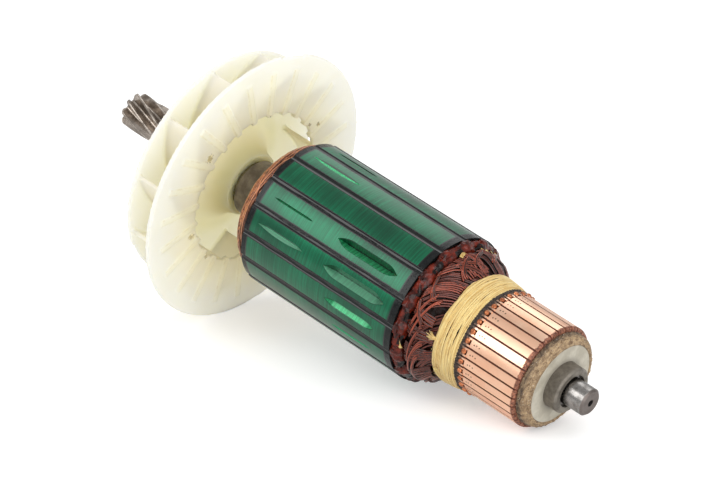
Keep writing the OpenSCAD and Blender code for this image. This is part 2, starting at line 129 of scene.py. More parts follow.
def make_piece(name, points, faces, material, uvs=None, tones=None, stands_for=()):
    """One smooth mesh object that rides with the part."""
    mesh = bpy.data.meshes.new(name)
    mesh.from_pydata(to_world(points).tolist(), [], faces)
    smooth(mesh)
    if uvs is not None:
        layer = mesh.uv_layers.new(name="UVMap")
        index = np.empty(len(mesh.loops), dtype=np.int32)
        mesh.loops.foreach_get("vertex_index", index)
        layer.data.foreach_set("uv", np.asarray(uvs, dtype=np.float32)[index].ravel())
    if tones is not None:
        layer = mesh.attributes.new("tone", "FLOAT", "POINT")
        layer.data.foreach_set("value", np.asarray(tones, dtype=np.float32))
    mesh.update()
    return dress(add_object(name, mesh), material, stands_for)


class Tubes:
    """Collects round strands along paths into one mesh."""

    def __init__(self, sides):
        self.sides = sides
        self.points, self.faces, self.uvs, self.tones = [], [], [], []
        self.count = 0

    def add(self, path, radius, tone=0.0, squash=1.0, closed=False):
        path = np.asarray(path, float)
        n, s, base = len(path), self.sides, self.count
        radius = np.broadcast_to(np.asarray(radius, float), (n,))
        if closed:
            tangent = np.roll(path, -1, axis=0) - np.roll(path, 1, axis=0)
        else:
            tangent = np.gradient(path, axis=0)
        tangent = tangent / np.linalg.norm(tangent, axis=1, keepdims=True)
        outward = path.copy()
        outward[:, 2] = 0
        outward -= tangent * np.sum(outward * tangent, axis=1, keepdims=True)
        outward /= np.maximum(np.linalg.norm(outward, axis=1, keepdims=True), 1e-6)
        across = np.cross(tangent, outward)
        length = np.concatenate([[0], np.cumsum(np.linalg.norm(np.diff(path, axis=0), axis=1))])
        a = np.arange(s) * 2 * math.pi / s
        ring = (outward[:, None, :] * (np.cos(a) * squash)[None, :, None]
                + across[:, None, :] * np.sin(a)[None, :, None]) * radius[:, None, None]
        self.points.append((path[:, None, :] + ring).reshape(-1, 3))
        uv = np.stack(np.broadcast_arrays(length[:, None], (a / (2 * math.pi))[None, :]), axis=-1)
        self.uvs.append(uv.reshape(-1, 2))
        self.tones.append(np.full(n * s, tone))
        for i in range(n if closed else n - 1):
            here, there = base + i * s, base + (i + 1) % n * s
            for j in range(s):
                k = (j + 1) % s
                self.faces.append((here + j, here + k, there + k, there + j))
        if not closed:
            self.faces.append(tuple(base + j for j in range(s - 1, -1, -1)))
            self.faces.append(tuple(base + (n - 1) * s + j for j in range(s)))
        self.count += n * s

    def piece(self, name, material, slot, stands_for=()):
        return make_piece(name, np.concatenate(self.points), self.faces, material,
                          np.concatenate(self.uvs), np.concatenate(self.tones), stands_for)


def grid_faces(rows, cols, closed=True, base=0):
    """Faces of a sheet of rows, each of the same number of points, closed round or open."""
    faces = []
    for i in range(rows - 1):
        here, there = base + i * cols, base + (i + 1) * cols
        for j in range(cols if closed else cols - 1):
            k = (j + 1) % cols
            faces.append((here + j, here + k, there + k, there + j))
    return faces


def wobble(theta, seed, low, high, count):
    """A smooth closed random wave over angles in degrees, about -1 to 1."""
    r = np.random.default_rng(seed)
    a = np.radians(theta)
    total = np.zeros_like(a)
    for _ in range(count):
        k = r.integers(low, high + 1)
        total += np.sin(k * a + r.uniform(0, 2 * math.pi)) * r.uniform(0.4, 1)
    return total / (0.55 * count ** 0.5) * 0.5


def near_pitch(theta, phase, pitch):
    """Distance in degrees from the nearest of a ring of evenly spaced lines."""
    return np.abs((theta - phase + pitch / 2) % pitch - pitch / 2)


class Shade:
    """A material with short helpers for its nodes."""

    def __init__(self, name):
        self.mat = bpy.data.materials.new(name)
        self.mat.use_nodes = True
        self.tree = self.mat.node_tree
        self.bsdf = next(n for n in self.tree.nodes if n.type == "BSDF_PRINCIPLED")
        self._local = None

    def node(self, kind, **values):
        n = self.tree.nodes.new(kind)
        for key, value in values.items():
            setattr(n, key, value)
        return n

    def link(self, a, b):
        self.tree.links.new(a, b)

    def put(self, socket, value):
        if isinstance(value, bpy.types.NodeSocket):
            self.link(value, socket)
        else:
            socket.default_value = value

    def math(self, op, a, b=0.0, c=0.0):
        n = self.node("ShaderNodeMath", operation=op)
        self.put(n.inputs[0], a)
        self.put(n.inputs[1], b)
        if op == "WRAP":
            self.put(n.inputs[2], c)
        return n.outputs[0]

    def add(self, a, b):
        return self.math("ADD", a, b)

    def sub(self, a, b):
        return self.math("SUBTRACT", a, b)

    def mul(self, a, b):
        return self.math("MULTIPLY", a, b)

    def max(self, a, b):
        return self.math("MAXIMUM", a, b)

    def abs(self, a):
        return self.math("ABSOLUTE", a)

    def ramp(self, value, lo, hi, a=0.0, b=1.0, smooth=True):
        n = self.node("ShaderNodeMapRange", interpolation_type="SMOOTHSTEP" if smooth else "LINEAR")
        self.put(n.inputs[0], value)
        for i, v in enumerate((lo, hi, a, b)):
            self.put(n.inputs[i + 1], v)
        return n.outputs[0]

    def fall(self, value, lo, hi):
        """1 below the first limit and 0 above the second."""
        return self.ramp(value, lo, hi, 1.0, 0.0)

    def mix(self, factor, a, b):
        n = self.node("ShaderNodeMix", data_type="RGBA")
        self.put(n.inputs[0], factor)
        self.put(n.inputs[6], a)
        self.put(n.inputs[7], b)
        return n.outputs[2]

    def local(self):
        """Sockets of x, y, z, radius and angle in the shaft's frame, in millimetres and radians."""
        if self._local is None:
            pos = self.node("ShaderNodeTexCoord").outputs["Object"]
            rel = self.node("ShaderNodeVectorMath", operation="SUBTRACT")
            self.link(pos, rel.inputs[0])
            rel.inputs[1].default_value = ORIGIN
            out = []
            for axis in (UP, SIDE, AXIS):
                dot = self.node("ShaderNodeVectorMath", operation="DOT_PRODUCT")
                self.link(rel.outputs[0], dot.inputs[0])
                dot.inputs[1].default_value = axis * 1000
                out.append(dot.outputs["Value"])
            x, y, z = out
            r = self.math("SQRT", self.add(self.mul(x, x), self.mul(y, y)))
            self._local = (x, y, z, r, self.math("ARCTAN2", y, x))
        return self._local

    def vec(self, x, y, z):
        n = self.node("ShaderNodeCombineXYZ")
        for i, v in enumerate((x, y, z)):
            self.put(n.inputs[i], v)
        return n.outputs[0]

    def rolled(self, around=1.0, out=1.0, along=1.0, radius=20.0):
        """A vector that unrolls the surface: round the shaft, outwards, along the shaft."""
        z, r, angle = self.local()[2:]
        return self.vec(self.mul(angle, radius * around), self.mul(r, out), self.mul(z, along))

    def cart(self):
        return self.vec(*self.local()[:3])

    def noise(self, vector, scale, detail=3.0, rough=0.5, distortion=0.0):
        n = self.node("ShaderNodeTexNoise")
        self.put(n.inputs["Vector"], vector)
        n.inputs["Scale"].default_value = scale
        n.inputs["Detail"].default_value = detail
        n.inputs["Roughness"].default_value = rough
        n.inputs["Distortion"].default_value = distortion
        return n.outputs[0]

    def grain(self, scale, detail, rough):
        """Noise that is the same in all directions."""
        return self.noise(self.cart(), scale, detail, rough)

    def cells(self, vector, scale):
        n = self.node("ShaderNodeTexVoronoi")
        self.put(n.inputs["Vector"], vector)
        n.inputs["Scale"].default_value = scale
        return n.outputs["Distance"]

    def bump(self, height, strength, distance):
        n = self.node("ShaderNodeBump")
        n.inputs["Strength"].default_value = strength
        n.inputs["Distance"].default_value = distance
        self.link(height, n.inputs["Height"])
        self.link(n.outputs[0], self.bsdf.inputs["Normal"])

    def set(self, **values):
        for key, value in values.items():
            self.put(self.bsdf.inputs[key.replace("_", " ")], value)

    def tone(self):
        return self.node("ShaderNodeAttribute", attribute_name="tone").outputs["Fac"]

    def degrees(self):
        return self.mul(self.local()[4], 180 / math.pi)

    def pitch_offset(self, phase, pitch):
        """Angle from the nearest of a ring of evenly spaced lines, in degrees."""
        turned = self.sub(self.degrees(), phase - pitch / 2)
        return self.sub(self.math("WRAP", turned, pitch, 0.0), pitch / 2)

    def arc_off(self, phase, pitch, radius):
        """Length along the surface from the nearest of a ring of evenly spaced lines."""
        return self.mul(self.abs(self.pitch_offset(phase, pitch)), PER_DEGREE * radius)

    def spot(self, r, theta, z, size):
        """A ragged patch round one place of the part, 1 in its middle."""
        far = self.node("ShaderNodeVectorMath", operation="DISTANCE")
        self.link(self.cart(), far.inputs[0])
        far.inputs[1].default_value = polar(r, theta, z).tolist()
        ragged = self.grain(1.4, 4, 0.7)
        edge = self.ramp(ragged, 0.3, 0.7, -0.6 * size, 0.6 * size, False)
        return self.fall(self.add(far.outputs["Value"], edge), size * 0.5, size)


def rgb(r, g, b):
    """A shown 0 to 255 colour as linear values."""
    def lin(v):
        v /= 255
        return v / 12.92 if v <= 0.04045 else ((v + 0.055) / 1.055) ** 2.4
    return (lin(r), lin(g), lin(b), 1.0)


def green_lacquer():
    """Lacquer on the core's teeth, with its balance grooves and shallow cuts."""
    s = Shade("green_lacquer")
    z, r = s.local()[2:4]
    worn_tooth, pale_metal = 73.8, rgb(122, 172, 150)
    sheets = s.noise(s.rolled(0.02, 0.0, 1.0), 2.4, 4, 0.75)
    weave = s.noise(s.rolled(1.0, 0.0, 0.05), 1.8, 3, 0.6)
    patch = s.noise(s.rolled(0.6, 0.0, 0.5), 0.12, 2, 0.5)
    base = s.mix(s.ramp(sheets, 0.3, 0.7), rgb(1, 72, 46), rgb(4, 112, 76))
    base = s.mix(s.ramp(patch, 0.4, 0.7, 0.0, 0.55), base, rgb(1, 56, 38))
    # inside the balance grooves the lacquer lies on bright cut metal, with painted shade on the upper flank
    # and along the bottom
    flank = s.pitch_offset(TOOTH_PHASE, SLOT_PITCH)
    between = s.abs(flank)
    cut = s.mul(s.fall(r, 24.34, 24.46), s.fall(between, 6.6, 6.9))
    streaks = s.noise(s.rolled(0.04, 0.0, 1.0), 3.0, 3, 0.7)
    lower = s.mix(s.ramp(streaks, 0.35, 0.65), rgb(10, 98, 58), rgb(54, 168, 110))
    worn = s.ramp(s.abs(s.sub(s.degrees(), worn_tooth)), 6.0, 8.0, 0.5, 0.0)
    lower = s.mix(worn, lower, pale_metal)
    # the upper flank is darker, painted shade
    upper = s.mix(s.ramp(streaks, 0.35, 0.65), rgb(2, 44, 26), rgb(8, 84, 52))
    groove = s.mix(s.ramp(flank, -0.5, 0.4), upper, lower)
    uneven = s.ramp(s.grain(1.6, 3, 0.7), 0.3, 0.7, -0.4, 0.4, False)
    rough_line = s.add(s.abs(s.add(flank, 0.5)), uneven)
    # a dark line along the groove's bottom, painted shade
    deep = s.mul(s.fall(rough_line, 0.35, 0.6), s.fall(r, 23.0, 23.6))
    groove = s.mix(deep, groove, rgb(8, 14, 12))
    base = s.mix(cut, base, groove)
    lip = s.mul(s.ramp(r, 24.3, 24.38), s.fall(r, 24.44, 24.49))
    base = s.mix(s.mul(lip, s.ramp(between, 6.6, 6.9, 0.7, 0.0)), base, rgb(2, 40, 26))
    # shallow cuts by angle, start, length, half width and how pale their metal is, with their upper side in
    # painted shade
    cut_metal = s.mix(s.ramp(streaks, 0.35, 0.65), rgb(10, 112, 68), rgb(46, 176, 112))
    for mid, start, length, half, pale in ((-16.2, 4.2, 17.6, 0.8, 0.1), (6.3, 3.2, 19.6, 1.0, 0.0),
                                           (worn_tooth, 3.2, 18.4, 0.85, 0.7),
                                           (118.8, 36.5, 16.7, 0.9, 0.1)):
        aside = s.mul(s.sub(s.degrees(), mid), PER_DEGREE * CORE_R)
        along = s.math("DIVIDE", s.sub(z, start + length / 2), length / 2)
        room = s.mul(s.sub(1.0, s.math("POWER", s.abs(along), 2.4)), half)
        inside = s.sub(room, s.abs(aside))
        bare = s.mix(s.ramp(aside, -0.45 * half, -0.1 * half), rgb(2, 42, 26),
                     s.mix(pale, cut_metal, pale_metal))
        base = s.mix(s.ramp(inside, -0.12, 0.06), base, bare)
    # dark lacquer along the slots' edges and round the ends
    ragged = s.noise(s.rolled(1.0, 0.0, 1.0), 0.8, 3, 0.6)
    edge = s.add(s.arc_off(SLOT_PHASE, SLOT_PITCH, CORE_R), s.ramp(ragged, 0.3, 0.7, -0.1, 0.1, False))
    rim = s.max(s.fall(z, 0.3, 0.55), s.ramp(z, STACK_LEN - 0.55, STACK_LEN - 0.3))
    dark = s.max(s.fall(edge, 1.05, 1.22), rim)
    base = s.mix(dark, base, rgb(12, 16, 16))
    specks = s.ramp(s.grain(1.1, 4, 0.7), 0.74, 0.79)
    base = s.mix(s.mul(specks, 0.3), base, rgb(150, 170, 150))
    metal = s.sub(0.6, s.mul(dark, 0.6))
    s.set(Base_Color=base, Metallic=metal, Roughness=0.34, Specular_IOR_Level=0.2, Coat_Weight=0.5,
          Coat_Roughness=0.14)
    pillow = s.mul(s.math("POWER", s.math("DIVIDE", between, 10.0), 4.0), -7.0)
    fine = s.add(s.mul(sheets, 0.7), s.mul(weave, 0.4))
    s.bump(s.add(fine, pillow), 0.35, 0.00006)
    return s.mat


def black_lacquer(name, tint, rough, lumps, gloss):
    s = Shade(name)
    n = s.grain(0.6, 4, 0.6)
    light = rgb(tint[0] + 12, tint[1] + 12, tint[2] + 13)
    base = s.mix(s.ramp(n, 0.35, 0.7), rgb(*tint), light)
    s.set(Base_Color=base, Roughness=s.ramp(n, 0.3, 0.7, rough, rough + 0.1), Specular_IOR_Level=gloss)
    s.bump(s.grain(0.8, 3, 0.6), 0.5, lumps)
    return s.mat


def fan_plastic():
    """Milky plastic, dirty along the ribs, with painted shade over the ribs and at the rim, and a weak glow
    for the light that comes through it.
    """
    s = Shade("fan_plastic")
    z, r = s.local()[2:4]
    cloud = s.grain(0.05, 3, 0.6)
    base = s.mix(s.ramp(r, 22, 42), rgb(237, 225, 177), rgb(240, 235, 209))
    base = s.mix(s.ramp(cloud, 0.4, 0.7, 0.0, 0.3), base, rgb(239, 228, 186))
    base = s.mix(s.ramp(r, 9.5, 15.0, 0.8, 0.0), base, rgb(222, 202, 138))
    # a faint tan over the ring's ribs, painted shade, and thin broken tan lines along their edges, dirt
    # with painted shade at the edges
    lean = s.math("DIVIDE", s.mul(s.sub(r, RIB_MID), math.degrees(math.tan(math.radians(RIB_LEAN)))), r)
    off = s.abs(s.sub(s.pitch_offset(RIB_PHASE, RIB_PITCH), lean))
    aside = s.mul(s.mul(off, r), PER_DEGREE)
    side = s.abs(s.sub(aside, 1.0))
    span = s.mul(s.ramp(r, 24.6, 25.2), s.fall(r, 40.9, 41.4))
    front = s.ramp(z, RING_FACE - 0.5, RING_FACE - 0.2)
    on_ring = s.mul(span, front)
    body = s.mul(s.ramp(aside, 0.5, 1.5, 0.2, 0.0), on_ring)
    base = s.mix(body, base, rgb(226, 206, 142))
    line = s.mul(s.fall(side, 0.0, 0.45), on_ring)
    broken = s.ramp(s.grain(0.4, 4, 0.7), 0.4, 0.65, 0.1, 0.4)
    base = s.mix(s.mul(line, broken), base, rgb(196, 172, 112))
    # oil at the ribs' feet by radius, angle and size, then a thin grey line round the rim, painted shade of
    # the plastic's edge, and dust
    for radius, theta, size in (
            (29.6, 53.4, 1.6), (26.9, -51.7, 0.8), (29.7, -58.2, 0.8), (28.3, 110.5, 1.3),
            (27.0, 138.7, 1.0), (25.3, -1.6, 0.8), (25.2, 16.4, 0.9), (24.6, 58.3, 0.7)):
        stain = s.mul(s.spot(radius, theta, RING_FACE, size), 0.8)
        base = s.mix(stain, base, rgb(112, 98, 66))
    rim = s.mul(s.ramp(r, 45.5, 45.9), front)
    base = s.mix(s.mul(rim, broken), base, rgb(190, 188, 182))
    specks = s.mul(s.ramp(s.grain(1.7, 2, 0.6), 0.78, 0.81), 0.35)
    base = s.mix(specks, base, rgb(130, 115, 88))
    # light that comes through the plastic from behind, where the core keeps off the light from the front
    shaded_side = 148
    turn = s.abs(s.pitch_offset(shaded_side, 360))
    shaded = s.ramp(turn, 20, 75, 0.14, 0.05)
    glow = s.mul(shaded, s.mul(front, s.ramp(r, 31, 43, 1.0, 0.1)))
    between_discs = s.mul(s.ramp(r, 13, 21), s.ramp(z, RING_FACE - 14, RING_FACE - 11))
    inner = s.mul(s.ramp(z, RING_FACE - 3.0, RING_FACE - 2.4, 0.1, 0.0), between_discs)
    glow = s.add(glow, inner)
    s.set(Base_Color=base, Roughness=s.ramp(cloud, 0.3, 0.7, 0.4, 0.52), Specular_IOR_Level=0.35,
          Subsurface_Weight=1.0, Subsurface_Radius=(1.0, 0.92, 0.66), Subsurface_Scale=0.018,
          Emission_Color=rgb(250, 236, 190), Emission_Strength=glow)
    s.bump(s.grain(0.7, 3, 0.6), 0.1, 0.0002)
    return s.mat


def steel(name, tint, dark, rough=0.3, turned=1.0, metallic=1.0):
    s = Shade(name)
    lines = s.noise(s.rolled(0.015, 0.3, 1.0), 5.0, 4, 0.65)
    grime = s.grain(0.28, 5, 0.65)
    base = s.mix(s.ramp(grime, 0.35, 0.72), rgb(*tint), rgb(*dark))
    base = s.mix(s.ramp(lines, 0.35, 0.7, 0.0, 0.25), base, rgb(*dark))
    s.set(Base_Color=base, Metallic=metallic, Roughness=s.ramp(grime, 0.3, 0.75, rough, rough + 0.2))
    s.bump(lines, 0.25 * turned, 0.00008)
    return s.mat


def shaft_steel():
    """Ground steel, darker at its end, with painted shade in its centre hole and at its root."""
    s = Shade("ground_steel")
    z, r = s.local()[2:4]
    lines = s.noise(s.rolled(0.01, 0.3, 1.0), 6.0, 3, 0.6)
    grime = s.grain(0.5, 5, 0.65)
    base = s.mix(s.ramp(grime, 0.4, 0.75), rgb(152, 149, 146), rgb(116, 112, 108))
    # the chamfer and the end face are darker; painted shade in the centre hole and on the groove beside the
    # bush
    end = s.ramp(z, SHAFT_END - 0.75, SHAFT_END - 0.45)
    base = s.mix(s.mul(end, 0.85), base, rgb(112, 102, 97))
    hole_shade = s.mul(s.fall(r, 1.0, 1.25), s.ramp(z, SHAFT_END - 3, SHAFT_END - 2))
    base = s.mix(hole_shade, base, rgb(26, 25, 25))
    root = s.fall(z, SHAFT_END - 7.35, SHAFT_END - 6.65)
    base = s.mix(s.mul(root, 0.5), base, rgb(90, 86, 82))
    rough = s.add(s.ramp(grime, 0.3, 0.7, 0.2, 0.34), s.mul(end, 0.2))
    s.set(Base_Color=base, Metallic=1.0, Roughness=rough)
    s.bump(lines, 0.2, 0.00005)
    return s.mat


def turned_copper():
    """Copper bars, each of its own shade, with brown gaps, painted shade below their faces, rough ends and
    punch dots.
    """
    s = Shade("turned_copper")
    z, r = s.local()[2:4]
    lines = s.noise(s.rolled(0.01, 0.0, 1.0), 7.0, 3, 0.7)
    patina = s.noise(s.rolled(0.5, 0.5, 0.25), 0.5, 4, 0.6)
    base = s.mix(s.ramp(patina, 0.35, 0.75), rgb(252, 212, 184), rgb(244, 192, 160))
    base = s.mix(s.ramp(lines, 0.35, 0.75, 0.0, 0.25), base, rgb(224, 170, 138))
    # each bar has its own shade
    number = s.math("FLOOR", s.math("DIVIDE", s.sub(s.degrees(), BAR_PHASE), BAR_PITCH))
    chance = s.node("ShaderNodeTexWhiteNoise", noise_dimensions="1D")
    s.link(number, chance.inputs["W"])
    own = chance.outputs["Value"]
    base = s.mix(s.mul(own, 0.45), base, rgb(222, 166, 132))
    # thin toothed brown lines at the gaps between bars, and painted shade on the faces below the bars'
    # surface
    teeth = s.noise(s.rolled(0.3, 0.0, 1.0), 2.2, 2, 0.6)
    off = s.add(s.arc_off(BAR_PHASE, BAR_PITCH, COMM_R), s.ramp(teeth, 0.3, 0.7, -0.1, 0.1, False))
    gap = s.fall(off, 0.2, 0.34)
    low = s.mul(s.fall(r, COMM_R - 0.25, COMM_R - 0.08), s.fall(z, BAR_END - 0.9, BAR_END - 0.7))
    gaps_and_shade = s.max(s.mul(gap, 0.75), low)
    base = s.mix(gaps_and_shade, base, rgb(118, 58, 38))
    # rough brown ends, grey among the wire ends
    crust = s.grain(1.3, 5, 0.7)
    worn = s.add(z, s.ramp(crust, 0.3, 0.7, -0.35, 0.35, False))
    end = s.ramp(worn, BAR_END - 1.15, BAR_END - 0.85)
    base = s.mix(end, base, s.mix(s.ramp(crust, 0.35, 0.65), rgb(84, 50, 38), rgb(178, 118, 92)))
    riser = s.fall(z, RISER_END - 1.6, RISER_END - 0.5)
    base = s.mix(s.mul(riser, s.ramp(crust, 0.3, 0.6, 0.4, 1.0)), base, rgb(92, 76, 70))
    # three plain punch dots on each bar
    mid = s.mul(s.pitch_offset(BAR_PHASE + BAR_PITCH / 2, BAR_PITCH), PER_DEGREE * COMM_R)
    for station, aside in ((86.3, 0.1), (87.2, -0.1), (88.3, 0.05)):
        far = s.add(s.math("POWER", s.abs(s.sub(z, station)), 2.0),
                    s.math("POWER", s.abs(s.sub(mid, aside)), 2.0))
        base = s.mix(s.ramp(far, 0.03, 0.09, 0.8, 0.0), base, rgb(70, 44, 36))
    rough = s.add(s.ramp(lines, 0.3, 0.7, 0.27, 0.36), s.mul(own, 0.1))
    rough = s.max(rough, s.mul(s.max(end, riser), 0.55))
    metal = s.sub(1.0, s.mul(s.max(end, gaps_and_shade), 0.6))
    s.set(Base_Color=base, Metallic=metal, Roughness=rough)
    height = s.add(s.mul(lines, 0.3), s.mul(s.mul(crust, 3.0), end))
    s.bump(height, 0.35, 0.00008)
    return s.mat


def wire_lacquer(name, light, mid, deep, coat=0.8, metallic=0.15):
    """Lacquered wires of many tones, with painted shade on their flanks."""
    s = Shade(name)
    t = s.tone()
    n = s.grain(0.5, 4, 0.6)
    base = s.mix(s.ramp(t, 0.0, 1.0, 0.0, 1.0, False), rgb(*mid), rgb(*light))
    # painted shade on the wires' flanks, where they lie against each other
    split = s.node("ShaderNodeSeparateXYZ")
    s.link(s.node("ShaderNodeTexCoord").outputs["UV"], split.inputs[0])
    crest = s.math("COSINE", s.mul(split.outputs[1], 2 * math.pi))
    base = s.mix(s.fall(crest, 0.15, 0.95), base, rgb(*deep))
    base = s.mix(s.ramp(n, 0.5, 0.72, 0.0, 0.8), base, rgb(*deep))
    s.set(Base_Color=base, Metallic=metallic, Roughness=s.ramp(n, 0.3, 0.7, 0.22, 0.38), Coat_Weight=coat,
          Coat_Roughness=0.05)
    s.bump(s.grain(1.0, 2, 0.5), 0.3, 0.00015)
    return s.mat


def pool_lacquer(name, light, deep, coat=1.0, scale=0.5, lumps=0.0006, hollow_shade=False):
    """Lacquer that ran and set in lumps."""
    s = Shade(name)
    n = s.grain(scale, 5, 0.65)
    base = s.mix(s.ramp(n, 0.35, 0.68), rgb(*deep), rgb(*light))
    if hollow_shade:
        # painted shade: dark hollows between the tabs, towards the coils
        between = s.abs(s.pitch_offset(TOOTH_PHASE, SLOT_PITCH))
        uneven = s.ramp(s.grain(0.45, 3, 0.6), 0.3, 0.7, -5.0, 5.0, False)
        hollow = s.mul(s.fall(s.add(between, uneven), 3.0, 6.0),
                       s.ramp(s.local()[2], WASHER_FACE - 0.7, WASHER_FACE - 0.1))
        base = s.mix(hollow, base, rgb(14, 5, 4))
    s.set(Base_Color=base, Roughness=s.ramp(n, 0.3, 0.7, 0.16, 0.34), Coat_Weight=coat, Coat_Roughness=0.08,
          Specular_IOR_Level=0.1)
    s.bump(s.grain(scale * 1.2, 2, 0.5), 0.6, lumps)
    return s.mat


def twine():
    s = Shade("twine")
    z, r, angle = s.local()[2:]
    tone = s.tone()
    fibre = s.noise(s.vec(s.mul(angle, 2.4), s.mul(z, 5.0), s.mul(r, 5.0)), 1.0, 3, 0.7)
    cloud = s.grain(0.3, 4, 0.6)
    base = s.mix(s.ramp(fibre, 0.3, 0.7), rgb(200, 160, 82), rgb(240, 218, 150))
    base = s.mix(0.45, base, s.mix(tone, rgb(188, 142, 64), rgb(248, 230, 168)))
    base = s.mix(s.ramp(cloud, 0.5, 0.75, 0.0, 0.4), base, rgb(206, 160, 74))
    stain = s.ramp(s.grain(0.5, 4, 0.7), 0.66, 0.76, 0.0, 0.45)
    base = s.mix(stain, base, rgb(160, 106, 52))
    s.set(Base_Color=base, Roughness=0.7, Sheen_Weight=0.3, Sheen_Roughness=0.5, Specular_IOR_Level=0.35)
    s.bump(fibre, 0.6, 0.00012)
    return s.mat


def split_mica():
    s = Shade("split_mica")
    z = s.local()[2]
    flakes = s.noise(s.rolled(0.7, 1.6, 1.6, 14), 0.9, 5, 0.7, 0.6)
    fine = s.grain(2.2, 4, 0.7)
    base = s.mix(s.ramp(flakes, 0.3, 0.7), rgb(100, 74, 48), rgb(192, 163, 125))
    base = s.mix(s.ramp(fine, 0.55, 0.75, 0.0, 0.7), base, rgb(230, 212, 180))
    foot = s.fall(z, BAR_END + 0.9, BAR_END + 2.3)
    base = s.mix(s.mul(foot, s.ramp(flakes, 0.3, 0.6, 1.0, 0.5)), base, rgb(58, 44, 36))
    specks = s.ramp(s.grain(1.8, 2, 0.5), 0.68, 0.72)
    base = s.mix(s.mul(specks, 0.7), base, rgb(216, 206, 190))
    s.set(Base_Color=base, Roughness=s.ramp(fine, 0.3, 0.7, 0.35, 0.7))
    s.bump(s.add(flakes, s.mul(fine, 0.5)), 0.7, 0.0005)
    return s.mat


def clamp_steel():
    s = Shade("clamp_steel")
    r = s.local()[3]
    cloud = s.grain(0.2, 4, 0.6)
    fine = s.grain(2.5, 3, 0.6)
    base = s.mix(s.ramp(cloud, 0.35, 0.7), rgb(202, 196, 180), rgb(176, 169, 152))
    base = s.mix(s.ramp(r, 7.6, 10.0, 0.55, 0.0), base, rgb(132, 126, 114))
    marks = s.mul(s.ramp(s.grain(0.9, 5, 0.75), 0.66, 0.72), 0.5)
    base = s.mix(marks, base, rgb(110, 98, 84))
    s.set(Base_Color=base, Metallic=0.1, Roughness=s.ramp(fine, 0.3, 0.7, 0.42, 0.58))
    s.bump(fine, 0.15, 0.00008)
    return s.mat


def grit():
    s = Shade("grit_resin")
    n = s.grain(1.5, 4, 0.7)
    grains = s.cells(s.cart(), 1.6)
    base = s.mix(s.ramp(n, 0.4, 0.7), rgb(32, 24, 20), rgb(84, 68, 58))
    base = s.mix(s.ramp(grains, 0.05, 0.2, 0.5, 0.0), base, rgb(178, 160, 148))
    s.set(Base_Color=base, Roughness=s.ramp(n, 0.3, 0.7, 0.35, 0.6), Specular_IOR_Level=0.35)
    s.bump(s.add(n, s.mul(grains, 0.6)), 0.7, 0.0004)
    return s.mat


def plain(name, a, b, rough=0.5, metallic=0.0, scale=0.5):
    s = Shade(name)
    n = s.grain(scale, 4, 0.6)
    s.set(Base_Color=s.mix(s.ramp(n, 0.35, 0.7), rgb(*a), rgb(*b)),
          Roughness=s.ramp(n, 0.3, 0.7, rough, rough + 0.15), Metallic=metallic)
    s.bump(n, 0.3, 0.0002)
    return s.mat


def soften(node, width, segments):
    """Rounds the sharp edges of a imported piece."""
    m = nodes[node].modifiers.new("edges", "BEVEL")
    m.width = width
    m.segments = segments
    m.limit_method = "ANGLE"
    m.angle_limit = math.radians(40)


LACQUER_GREEN = green_lacquer()
LACQUER_BLACK = black_lacquer("black_lacquer", (7, 10, 10), 0.16, 0.0003, 0.25)
LACQUER_SLOT = black_lacquer("slot_lacquer", (2, 3, 4), 0.08, 0.00003, 0.42)
PLASTIC = fan_plastic()
SHAFT = shaft_steel()
SLEEVE = steel("sleeve_steel", (128, 118, 106), (96, 88, 78), 0.46, 1.0, 0.6)
PINION = steel("pinion_steel", (178, 168, 158), (102, 92, 82), 0.2, 0.3)
BUSH = steel("bush_steel", (138, 131, 121), (102, 96, 87), 0.4, 1.0, 0.7)
COPPER = turned_copper()
REAR_WIRE = wire_lacquer("rear_wire", (158, 66, 38), (84, 29, 15), (13, 4, 3), 0.4, 0.5)
FRONT_WIRE = wire_lacquer("front_wire", (226, 150, 108), (180, 106, 70), (78, 44, 30), 0.4, 0.4)
# the bed below the rear wires: dark lacquer, painted darker as shade in the gaps between the wires
REAR_POOL_SHADE = pool_lacquer("rear_pool_shade", (34, 13, 8), (14, 5, 3), 0.0)
FRONT_POOL = pool_lacquer("front_pool", (138, 92, 66), (96, 60, 42), 0.4)
RED_WASHER = pool_lacquer("red_washer", (116, 38, 23), (40, 11, 7), 0.3, 0.35, 0.0003, True)
TWINE = twine()
MICA = split_mica()
CLAMP = clamp_steel()
GRIT = grit()
WIRE_END = plain("wire_end", (214, 134, 88), (138, 76, 50), 0.28, 0.7, 0.9)
GAP_MICA = plain("gap_mica", (112, 58, 40), (70, 36, 26), 0.6, 0.0, 1.5)
RESIN = plain("resin", (72, 48, 36), (50, 32, 24), 0.4)
PAPER = plain("slot_paper", (214, 190, 118), (164, 122, 58), 0.4, 0.0, 0.8)

for names, material in (
    (("laminated_core",), LACQUER_GREEN),
    (("front_end_plate", "rear_end_plate", "slot_wedges"), LACQUER_BLACK),
    (("fan_ring", "fan_back_plate", "fan_blades"), PLASTIC),
    (("shaft",), SHAFT), (("spacer_sleeve",), SLEEVE), (("pinion",), PINION),
    (("commutator_bush",), BUSH), (("commutator_bars",), COPPER), (("bar_micas",), GAP_MICA),
    (("riser_wires",), WIRE_END), (("commutator_shell",), RESIN), (("clamp_ring",), CLAMP),
    (("mica_collar",), MICA), (("riser_resin",), GRIT), (("rear_coil_bed",), REAR_POOL_SHADE),
    (("front_coil_bed",), FRONT_POOL), (("rear_washer",), RED_WASHER),
    (("rear_coil_heads",), REAR_WIRE), (("front_coil_heads", "slot_conductors"), FRONT_WIRE),
    (("binding_cord",), TWINE),
):
    for name in names:
        paint(nodes[name], material)

soften("front_end_plate", 0.0004, 3)
soften("rear_end_plate", 0.0004, 3)
soften("rear_washer", 0.0005, 3)
soften("clamp_ring", 0.0002, 2)


